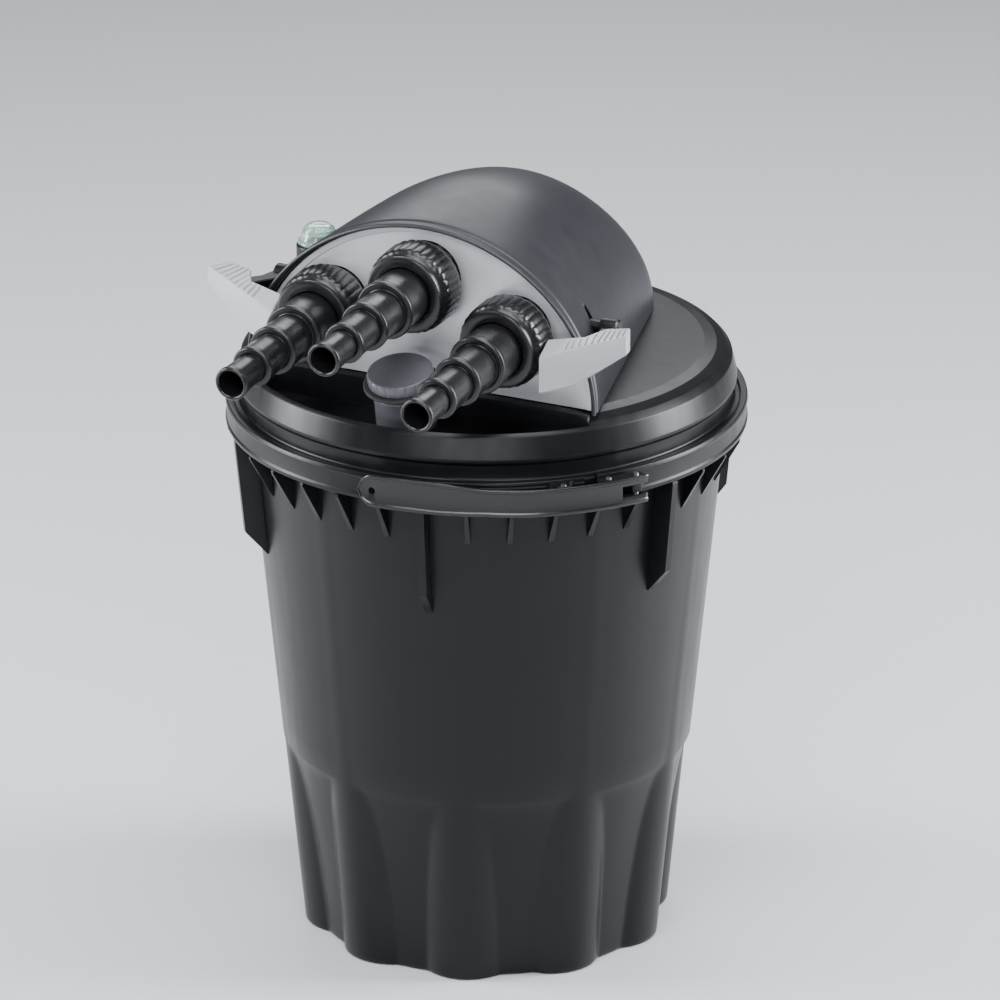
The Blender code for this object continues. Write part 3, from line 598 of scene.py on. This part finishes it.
def lever_radius(angle):
    rise = min(1.0, max(0.0, (angle - 8.0) / 30.0))
    return 192.5 + 11.0 * rise * rise * (3 - 2 * rise)


def make_lever(mat):
    """Long curved lever: round free end with a hole, raised rims, forked hinge end."""
    steps = 90
    middle = (LEVER_LOW + LEVER_HIGH) / 2
    half = (LEVER_HIGH - LEVER_LOW) / 2
    end_reach = math.degrees(half / 192.5)
    bm = bmesh.new()
    rows = []
    for i in range(steps + 1):
        share = i / steps
        angle = LEVER_END_ANGLE + (LEVER_HINGE_END - LEVER_END_ANGLE) * share
        near = (angle - LEVER_END_ANGLE) / end_reach
        tall = half * math.sqrt(max(0.02, 1 - (1 - near) ** 2)) if near < 1 else half
        tall *= 1.0 - 0.16 * min(1.0, max(0.0, (angle - 16.0) / 10.0))
        r = lever_radius(angle)
        thick = 3.0
        section = [
            (r, -tall + 0.6), (r + 0.6, -tall), (r + thick - 0.6, -tall), (r + thick, -tall + 0.7),
            (r + thick, -tall + 2.4), (r + thick - 0.9, -tall + 3.4), (r + thick - 0.9, tall - 3.4),
            (r + thick, tall - 2.4), (r + thick, tall - 0.7), (r + thick - 0.6, tall), (r + 0.6, tall),
            (r, tall - 0.6),
        ]
        if tall < 4.2:
            section = [(q, max(-tall, min(tall, z))) for q, z in section]
        rows.append([polar(angle, q, middle + z) for q, z in section])
    skin(bm, rows, cap_ends=True)
    lever = publish("lever", bm, "clamp_lever", "clamp_lever", mat["lever_plastic"])
    fork = bmesh.new()
    notch = plan([(54.0, 188.0), (66.0, 188.0), (66.0, 216.0), (54.0, 216.0)])
    extruded(fork, counter_clockwise(notch), 395.8, 404.2)
    cut(lever, tool_object(fork))
    angle = LEVER_END_ANGLE + 3.2
    drill = bmesh.new()
    lathe(drill, [(0, -2), (2.6, -2), (2.6, 14), (0, 14)], 32)
    cut(lever, tool_object(drill, along(polar(angle, 1.0), polar(angle, 188.0, middle))))
    finish_cut(lever, 0.3)
    for label, low, high in (("low", 390.5, 395.8), ("high", 404.2, 409.5)):
        cheek = bmesh.new()
        outline = plan([(49.0, 202.0), (50.5, 194.6), (LEVER_HINGE_END, 194.2),
                        (LEVER_HINGE_END + 0.1, 205.0), (49.0, 205.5)])
        outline = [tuple(p) for p in fillet(counter_clockwise(outline), 2.6, True, 5)]
        extruded(cheek, outline, low, high, 0.5)
        publish("lever_cheek_" + label, cheek, "clamp_lever", None, mat["lever_plastic"])
    return lever


def finish_cut(piece, width):
    piece.data.shade_smooth()
    piece.data.set_sharp_from_angle(angle=math.radians(35))
    if width > 0:
        ease(piece, width)


def make_latch_blocks(mat):
    """Lugs on the band's two ends, with rounded tips that reach out to their pins."""
    foot = BAND_R + 0.3
    bm = bmesh.new()
    outline = plan([(54.6, foot), (56.4, foot + 5), (56.9, PIVOT_R + 2.4), (59.1, PIVOT_R + 2.4),
                    (60.0, foot + 5), (62.6, foot)])
    extruded(bm, [tuple(p) for p in fillet(counter_clockwise(outline), 1.6, True, 4)], 396.5, 403.5, 0.4)
    publish("pivot_lug", bm, "base", "clamp_pivot_lug", mat["black_plastic"])
    bm = bmesh.new()
    for low, high in ((391.0, 396.0), (404.0, 409.0)):
        outline = plan([(39.0, foot), (40.3, foot + 4), (40.6, 200.6), (43.4, 200.6),
                        (43.7, foot + 4), (45.0, foot)])
        extruded(bm, [tuple(p) for p in fillet(counter_clockwise(outline), 1.8, True, 4)], low, high, 0.4)
    web = plan([(39.4, foot), (39.6, foot + 1.5), (44.4, foot + 1.5), (44.6, foot)])
    extruded(bm, counter_clockwise(web), 395.5, 404.5, 0.2)
    publish("catch_lug", bm, "base", "clamp_catch_lug", mat["black_plastic"])


# ---------------------------------------------------------------- lid

def make_lid(mat):
    profile = [
        (31.0, LID_TOP - 4), (31.0, LID_TOP), (158.0, LID_TOP), (167.0, LID_TOP - 1.6), (173.8, LID_TOP - 4.8),
        (178.5, 440.0), (182.0, 424.5), (181.6, 421.4), (179.3, 420.0), (179.3, 408.1), (186.6, 407.9),
        (187.2, 400.1), (164.5, 400.1), (164.5, 382.0), (161.0, 382.0), (161.0, 408.0), (177.0, 416.0),
        (174.5, 437.0), (166.0, LID_TOP - 5.5),
    ]
    bm = bmesh.new()
    lathe(bm, [tuple(p) for p in fillet(profile, 2.2, True, 4)], 240, True)
    lid = publish("lid_shell", bm, "base", "lid", mat["black_plastic"])
    pan = bmesh.new()
    extruded(pan, counter_clockwise(segment(DECK_R + 1.6, DECK_BACK_Y + 3.5)), DECK_Z - 3.5, 440.0)
    cut(lid, tool_object(pan), "UNION")
    wall = bmesh.new()
    outline = [(-134, DECK_BACK_Y), (134, DECK_BACK_Y), (134, DECK_BACK_Y + 3.5), (-134, DECK_BACK_Y + 3.5)]
    extruded(wall, outline, DECK_Z - 1, LID_TOP - 0.5)
    cut(lid, tool_object(wall), "UNION")
    recess = bmesh.new()
    extruded(recess, counter_clockwise(segment(DECK_R, DECK_BACK_Y)), DECK_Z, 470.0)
    cut(lid, tool_object(recess))
    finish_cut(lid, 0.9)
    return lid


def segment(radius, chord_y, count=72):
    """Part of a disc in front of a chord."""
    end = math.degrees(math.acos(-chord_y / radius))
    return [tuple(polar(-end + 2 * end * i / count, radius)[:2]) for i in range(count + 1)]


# ---------------------------------------------------------------- hood

def hood_half_width(y):
    width = HOOD_FRONT_HALF - HOOD_SIDE_TAPER * (y - HOOD_FRONT_Y)
    start = 95.0
    if y > start:
        u = (y - start) / (HOOD_BACK_Y - start)
        width *= max(0.0, 1 - u ** 3) ** 0.45
    return width


def hood_height(y):
    if y >= HOOD_CREST_Y:
        u = (y - HOOD_CREST_Y) / (HOOD_BACK_Y - HOOD_CREST_Y)
        return HOOD_HIGH * math.sqrt(max(0.0, 1 - u ** 1.7))
    u = (HOOD_CREST_Y - y) / (HOOD_CREST_Y - HOOD_FRONT_Y)
    return HOOD_HIGH - 9.5 * u ** 1.5


def arch(y, inset=0.0, count=120, foot=0.0):
    """Superellipse arch at one station, leaning back towards the front of the hood."""
    power = 2.0 / HOOD_POWER
    half = max(hood_half_width(y) - inset, 0.2)
    tall = max(hood_height(y) - inset, 0.2)
    lean = HOOD_LEAN * max(0.0, (HOOD_BACK_Y - y) / (HOOD_BACK_Y - HOOD_FRONT_Y))
    points = []
    for i in range(count + 1):
        t = math.pi * i / count
        x = half * math.copysign(abs(math.cos(t)) ** power, math.cos(t))
        z = tall * math.sin(t) ** power if 0 < i < count else foot
        points.append(Vector((x, y + lean * z, HOOD_FOOT_Z + z)))
    return points


def hood_rows():
    """Outer skin from the front lip, with its two beads, to the rounded back."""
    rows = []
    lip = ((9.0, 3.2), (0.6, 3.2), (0.0, 2.6), (0.0, 1.6), (0.5, 0.8), (1.6, 0.4), (3.0, 0.6), (4.0, 1.4),
           (4.6, 2.2), (5.4, 2.2), (6.0, 1.2), (7.2, 0.2), (9.0, 0.0))
    for back, inset in lip:
        rows.append(arch(HOOD_FRONT_Y + back, inset))
    first = HOOD_FRONT_Y + 12.0
    count = 64
    for i in range(count):
        y = HOOD_BACK_Y - 0.02 - (HOOD_BACK_Y - 0.02 - first) * (1 - i / count) ** 1.7
        rows.append(arch(y))
    rows.append(arch(HOOD_BACK_Y - 0.02))
    return rows


def make_hood(mat):
    bm = bmesh.new()
    rows = hood_rows()
    skin(bm, rows, wrap=False)
    hood = publish("hood_shell", bm, "base", "hood_cover", mat["hood_plastic"], sharp=50.0)
    solid = hood.modifiers.new("wall", "SOLIDIFY")
    solid.thickness = 2.4 * MM
    solid.offset = -1.0
    bake(hood)
    hood.data.shade_smooth()
    hood.data.set_sharp_from_angle(angle=math.radians(50))
    vent_slot(hood)
    return hood


def vent_slot(hood):
    """Narrow wedge cut in the right cheek above the selector grip."""
    tool = bmesh.new()
    outline = [(-1.0, 13.0), (-4.6, -13.0), (4.6, -13.0), (1.0, 13.0)]
    extruded(tool, counter_clockwise([tuple(p) for p in fillet(outline, 1.0, True)]), -8.0, 8.0)
    frame = Matrix.Translation((117.0, -66.0, 509.0)) @ Matrix.Rotation(math.radians(90), 4, "Y")
    frame = frame @ Matrix.Rotation(math.radians(90), 4, "Z")
    cut(hood, tool_object(tool, frame))
    hood.data.shade_smooth()
    hood.data.set_sharp_from_angle(angle=math.radians(50))


def make_panel(mat):
    """Silver-grey arch behind the lip, with a raised border and holes for the ports."""
    bm = bmesh.new()
    y = HOOD_FRONT_Y + 8.0
    rows = []
    for inset, back in ((4.6, 3.0), (4.6, 0.8), (5.2, 0.0), (9.0, 0.0), (9.8, 0.8)):
        row = arch(y, inset, 120, 0.3)
        rows.append([p + Vector((0, back, 0)) for p in row])
    loops = skin(bm, rows, wrap=True)
    bm.faces.new(loops[0])
    bm.faces.new(loops[-1])
    panel = publish("port_panel", bm, "base", "front_panel", mat["panel_grey"], sharp=30.0)
    for centre in PORTS.values():
        hole = bmesh.new()
        lathe(hole, [(0, -60), (27.0, -60), (27.0, 10), (0, 10)], 64)
        cut(panel, tool_object(hole, port_frame(centre)))
    finish_cut(panel, 0.0)


# ---------------------------------------------------------------- ports

def port_frame(centre):
    """Frame at a union nut's front face; Z points out along the hose tail."""
    return Matrix.Translation(centre) @ Matrix.Rotation(math.radians(90 + PORT_DROOP), 4, "X")


def tail_outline():
    """Stepped tail: every step swells to a rolled shoulder and drops into a groove."""
    points = [(TAIL_BORE, -8.0), (24.1, -8.0), (24.1, -4.4), (20.4, -4.4)]
    start = -4.0
    for radius, end in TAIL_STEPS:
        points.append((radius - 1.1, start + 1.2))
        points.append((radius - 0.7, start + 3.5))
        points.append((radius + 0.1, end - 5.5))
        points.append((radius + 0.8, end - 3.6))
        points.append((radius + 0.8, end - 1.4))
        points.append((radius - 0.2, end - 0.1))
        if end < TAIL_STEPS[-1][1]:
            points.append((radius - 2.8, end + 0.1))
            points.append((radius - 4.9, end - 0.9))
        start = end
    points.append((TAIL_BORE + 0.9, TAIL_STEPS[-1][1]))
    points.append((TAIL_BORE, TAIL_STEPS[-1][1] - 1.2))
    return points


def nut_rows(ribs=30, per_rib=8):
    """Union nut: rolled front bead, groove, then a ribbed body that widens backwards."""
    shape = [
        (21.4, -3.8, 0), (21.4, -0.6, 0), (22.2, 0.0, 0), (27.2, 0.0, 0), (28.6, -0.5, 0), (29.2, -1.8, 0),
        (29.0, -3.2, 0), (28.0, -4.2, 0), (28.2, -5.2, 0), (30.4, -7.0, 0), (31.4, -8.4, 1), (31.8, -12.0, 1),
        (32.1, -26.0, 1), (31.8, -28.4, 1), (30.8, -30.0, 0), (25.1, -30.0, 0), (25.1, -4.2, 0),
    ]
    count = ribs * per_rib
    rows = []
    for r, z, ribbed in shape:
        row = []
        for i in range(count):
            wave = abs(math.cos(math.pi * i / per_rib)) ** 0.6
            grow = ribbed * (0.75 * wave - 0.35)
            row.append(polar(360.0 * i / count, r + grow, z))
        rows.append(row)
    rows.append(rows[0])
    return rows


def make_ports(mat):
    for label, centre in PORTS.items():
        frame = port_frame(centre)
        bm = bmesh.new()
        lathe(bm, [tuple(p) for p in fillet(tail_outline(), 0.8, True, 3)], 96, True)
        publish("tail_" + label, bm, "tail_" + label, "hose_tail_" + label, mat["tail_plastic"], frame)
        bm = bmesh.new()
        skin(bm, nut_rows())
        bmesh.ops.remove_doubles(bm, verts=bm.verts, dist=1e-4)
        publish("nut_" + label, bm, "nut_" + label, "union_nut_" + label, mat["tail_plastic"], frame, 40.0)


# ---------------------------------------------------------------- selector grips

def grip_top(x):
    return 497.0 + 21.0 * (x - 106.0) / 61.0


def bend(x, corners):
    """Height or depth at x on a line through corners."""
    for (x0, v0), (x1, v1) in zip(corners, corners[1:]):
        if x <= x1:
            return v0 + (v1 - v0) * (x - x0) / (x1 - x0)
    return corners[-1][1]


def grip_section(u, tuck):
    """Outline across the wing at a share u of its length, drawn in by tuck at its ends."""
    front = Vector((106.0 + 61.0 * u, -134.0 + 17.5 * u, 0))
    back_x = 106.0 + 54.0 * u
    back = Vector((back_x, bend(back_x, GRIP_BACK), 0))
    width = (back - front).length
    across = (back - front) / width
    rib = 0.0
    if 124.0 < front.x < 164.0 and (front.x - 124.0) / 4.4 % 1.0 < 0.34:
        rib = -2.0
    points = []
    for run, level, lift in (
            (1.4, 0, 0.0), (0.0, 0, 1.4), (0.0, 1, -1.8), (0.5, 1, -0.6), (1.6, 1, -0.2 + 0.4 * rib),
            (3.4, 1, rib), (width - 3.4, 1, rib), (width - 1.4, 1, -0.2), (width, 1, -1.4),
            (width, 0, 1.4), (width - 1.4, 0, 0.0)):
        run = min(max(run, tuck), width - tuck)
        spot = front + across * run
        base = grip_top(spot.x) if level else bend(spot.x, GRIP_UNDER)
        swell = GRIP_BACK_LIFT * (1.0 - u) * run / width if level else 0.0
        z = base + lift + swell + (-tuck if level else tuck)
        points.append(Vector((spot.x, spot.y, z)))
    return points


def make_grip(side, mat):
    """Swept winged grip: a wedge that widens outwards, with finger ribs across its top."""
    label = "left" if side < 0 else "right"
    count = 96
    rows = [(0.0, 1.4), (0.004, 0.5)] + [(0.012 + 0.976 * i / count, 0.0) for i in range(count + 1)]
    rows += [(0.996, 0.5), (1.0, 1.4)]
    bm = bmesh.new()
    sections = [[Vector((side * p.x, p.y, p.z)) for p in grip_section(u, tuck)] for u, tuck in rows]
    skin(bm, sections, cap_ends=True)
    grip = publish("grip_" + label, bm, "selector", "selector_lever_" + label, mat["grip_grey"], sharp=38.0)
    arm = bmesh.new()
    reach = [(143, -104), (152, -104), (151, -93), (141, -82), (136, -62), (125, -62), (128, -82), (136, -93)]
    outline = [tuple(p) for p in fillet([(side * x, y) for x, y in reach], 3.0, True, 5)]
    extruded(arm, counter_clockwise(outline), SHAFT_Z - 6.0, SHAFT_Z + 3.0, 0.8)
    publish("grip_arm_" + label, arm, "selector", None, mat["black_plastic"])
    boss = bmesh.new()
    lathe(boss, [tuple(p) for p in fillet([(0, 124), (7.5, 124), (7.5, 136), (6.0, 137), (0, 137)], 0.8)], 48)
    publish("grip_boss_" + label, boss, "selector", None, mat["black_plastic"],
            along((side, 0, 0), (0, SHAFT_Y, SHAFT_Z)))
    return grip


# ---------------------------------------------------------------- bleed cap, sight dome, gland

def turret_frame():
    return Matrix.Translation(TURRET_TOP) @ Matrix.Rotation(math.radians(TURRET_TILT), 4, "X")


def make_bleed(mat):
    """Flat-topped cap with a scalloped knob over a thin flange ring."""
    shape = [
        (0.0, -0.5, 0), (9.0, -0.5, 0), (20.2, -0.5, 0), (20.9, -0.1, 0), (22.4, 0.0, 0), (23.4, -0.5, 0),
        (24.0, -1.6, 1), (24.2, -6.4, 1), (23.6, -8.6, 0), (6.4, -8.8, 0), (6.4, -30.0, 0), (0.0, -30.0, 0),
    ]
    count = 240
    rows = []
    for r, z, fluted in shape:
        if r == 0.0:
            rows.append([Vector((0, 0, z))])
            continue
        row = []
        for i in range(count):
            flute = fluted * 0.7 * max(0.0, math.cos(math.radians(360.0 * i / count) * 20)) ** 2
            row.append(polar(360.0 * i / count, r - flute, z))
        rows.append(row)
    bm = bmesh.new()
    skin(bm, rows)
    publish("cap", bm, "bleed", "bleed_cap", mat["cap_plastic"], turret_frame())
    bm = bmesh.new()
    ring = [(6.6, -8.9), (26.2, -8.9), (27.5, -9.4), (27.5, -11.2), (26.6, -12.0), (6.6, -12.0)]
    lathe(bm, [tuple(p) for p in fillet(ring, 0.6, True)], 96, True)
    publish("cap_ring", bm, "bleed", None, mat["rubber"], turret_frame())
    bm = bmesh.new()
    profile = [(8.0, -56.0), (21.8, -56.0), (21.2, -24.0), (21.5, -21.0), (21.5, -17.0), (20.4, -15.5),
               (15.0, -15.5), (15.0, -12.4), (8.0, -12.4)]
    lathe(bm, [tuple(p) for p in fillet(profile, 1.0, True)], 96, True)
    turret = publish("turret", bm, "base", "bleed_turret", mat["cap_plastic"], turret_frame())
    trim = bmesh.new()
    extruded(trim, circle(60.0, 32), -60.0, 0.0)
    cut(turret, tool_object(trim, Matrix.Translation((0, TURRET_TOP[1], DECK_Z + 0.2))))
    flat = bmesh.new()
    low, high = DECK_BACK_Y - 0.4, DECK_BACK_Y + 50.0
    extruded(flat, [(-40.0, low), (40.0, low), (40.0, high), (-40.0, high)], 380.0, 480.0)
    cut(turret, tool_object(flat))
    finish_cut(turret, 0.0)


def make_sight(mat):
    x, y = SIGHT
    frame = Matrix.Translation((x, y, 0))
    boss = [(9.0, 507.0), (SIGHT_R, 507.0), (SIGHT_R, 530.0), (15.6, 531.0), (9.0, 531.0)]
    turned("sight_base", boss, "base", "sight_boss", mat["black_plastic"], 0.8, 72, frame)
    bm = bmesh.new()
    outer = [(0, 547.0), (4.0, 546.7), (8.4, 545.0), (11.3, 542.4), (12.4, 539.0), (13.1, 534.6), (15.3, 533.4),
             (15.5, 531.4), (11.2, 531.4), (10.5, 539.0), (7.4, 543.0), (0, 545.0)]
    lathe(bm, [tuple(p) for p in fillet(outer, 0.8, False, 3)], 72)
    publish("sight_lens", bm, "base", "sight_dome", mat["clear_dome"], frame)


def refined(node, body, material, width=0.4):
    """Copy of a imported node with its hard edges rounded."""
    source = frame["nodes"][node]
    mesh = source.data.copy()
    mesh.materials.clear()
    mesh.materials.append(material)
    bm = bmesh.new()
    bm.from_mesh(mesh)
    bmesh.ops.remove_doubles(bm, verts=bm.verts, dist=1e-6)
    bmesh.ops.dissolve_limit(bm, angle_limit=math.radians(1.0), verts=bm.verts, edges=bm.edges)
    bm.to_mesh(mesh)
    bm.free()
    piece = bpy.data.objects.new("fine_" + node, mesh)
    bpy.context.scene.collection.objects.link(piece)
    ease(piece, width)
    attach(piece, body)
    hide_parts(node)
    return piece


# ---------------------------------------------------------------- stage

def look_at(thing, target):
    turn = (Vector(target) - thing.location).to_track_quat("-Z", "Y")
    thing.rotation_euler = turn.to_euler()


def make_camera():
    a = math.radians(VIEW_AZIMUTH)
    e = math.radians(VIEW_ELEVATION)
    right = Vector((math.cos(a), math.sin(a), 0))
    up = Vector((-math.sin(a) * math.sin(e), math.cos(a) * math.sin(e), math.cos(e)))
    back = Vector((math.sin(a) * math.cos(e), -math.cos(a) * math.cos(e), math.sin(e)))
    pivot = Vector((0, 0, AIM_Z))
    aim = (pivot + right * AIM_RIGHT - up * AIM_DOWN) * MM
    data = bpy.data.cameras.new("camera")
    data.lens = VIEW_LENS
    data.sensor_width = 36.0
    data.clip_end = 50.0
    camera = bpy.data.objects.new("camera", data)
    bpy.context.scene.collection.objects.link(camera)
    camera.location = (pivot + back * VIEW_DISTANCE) * MM
    look_at(camera, aim)
    bpy.context.scene.camera = camera


def area_light(name, azimuth, elevation, distance, size, power, target=(0, 0, 0.3)):
    """Softbox on a circle round the object; azimuth as for polar()."""
    data = bpy.data.lights.new(name, "AREA")
    data.shape = "RECTANGLE"
    data.size = size[0]
    data.size_y = size[1]
    data.energy = power
    data.color = (0.94, 0.96, 1.0)
    light = bpy.data.objects.new(name, data)
    bpy.context.scene.collection.objects.link(light)
    e = math.radians(elevation)
    light.location = polar(azimuth, distance * math.cos(e), distance * math.sin(e)) + Vector(target)
    look_at(light, target)


def make_stage():
    bm = bmesh.new()
    skin(bm, [[polar(a * 6.0, r, 0.0) for a in range(60)] for r in (60, 400, 1500, 6000, 16000)])
    inner = [v for v in bm.verts if v.co.length < 61]
    bm.faces.new(sorted(inner, key=lambda v: math.atan2(v.co.y, v.co.x)))
    bmesh.ops.translate(bm, vec=(0, 0, -0.4), verts=bm.verts)
    floor = publish("floor", bm, None, None, floor_material())
    world = bpy.data.worlds.new("studio")
    world.use_nodes = True
    background = world.node_tree.nodes["Background"]
    background.inputs["Color"].default_value = (0.86, 0.90, 0.96, 1.0)
    background.inputs["Strength"].default_value = 0.12
    bpy.context.scene.world = world
    area_light("left_box", VIEW_AZIMUTH - 92, 16, 2.2, (0.9, 1.8), 115)
    area_light("right_box", VIEW_AZIMUTH + 90, 18, 2.2, (0.9, 1.8), 150)
    area_light("top_box", VIEW_AZIMUTH + 10, 80, 2.4, (2.0, 1.2), 62)
    area_light("low_strip", VIEW_AZIMUTH - 8, 9, 2.6, (2.2, 0.4), 26)
    area_light("front_box", VIEW_AZIMUTH - 10, 44, 2.4, (2.0, 0.6), 46)
    area_light("back_box", VIEW_AZIMUTH + 180, 40, 2.4, (1.6, 1.0), 26)


# ---------------------------------------------------------------- build

def body_names():
    """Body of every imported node."""
    bodies = frame["record"]["behaviour"]["bodies"]
    return {node: body for body, nodes in bodies.items() for node in nodes}


def paint_kept_nodes(mat):
    for name, node in frame["nodes"].items():
        material = mat["black_plastic" if name == "selector_shaft" else SLOTS[name]]
        node.data.materials.clear()
        node.data.materials.append(material)


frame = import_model()
SLOTS = {part["node"]: part["material_slot"] for part in frame["record"]["subparts"]}
BODY = body_names()
materials = make_materials()
paint_kept_nodes(materials)
make_barrel(materials)
make_band(materials)
make_lever(materials)
make_latch_blocks(materials)
make_lid(materials)
make_hood(materials)
make_panel(materials)
make_ports(materials)
for which in (-1, 1):
    make_grip(which, materials)
make_bleed(materials)
make_sight(materials)
for part_name in ("clamp_link", "cable_gland", "gland_nut"):
    refined(part_name, BODY[part_name], materials[SLOTS[part_name]])
make_camera()
make_stage()
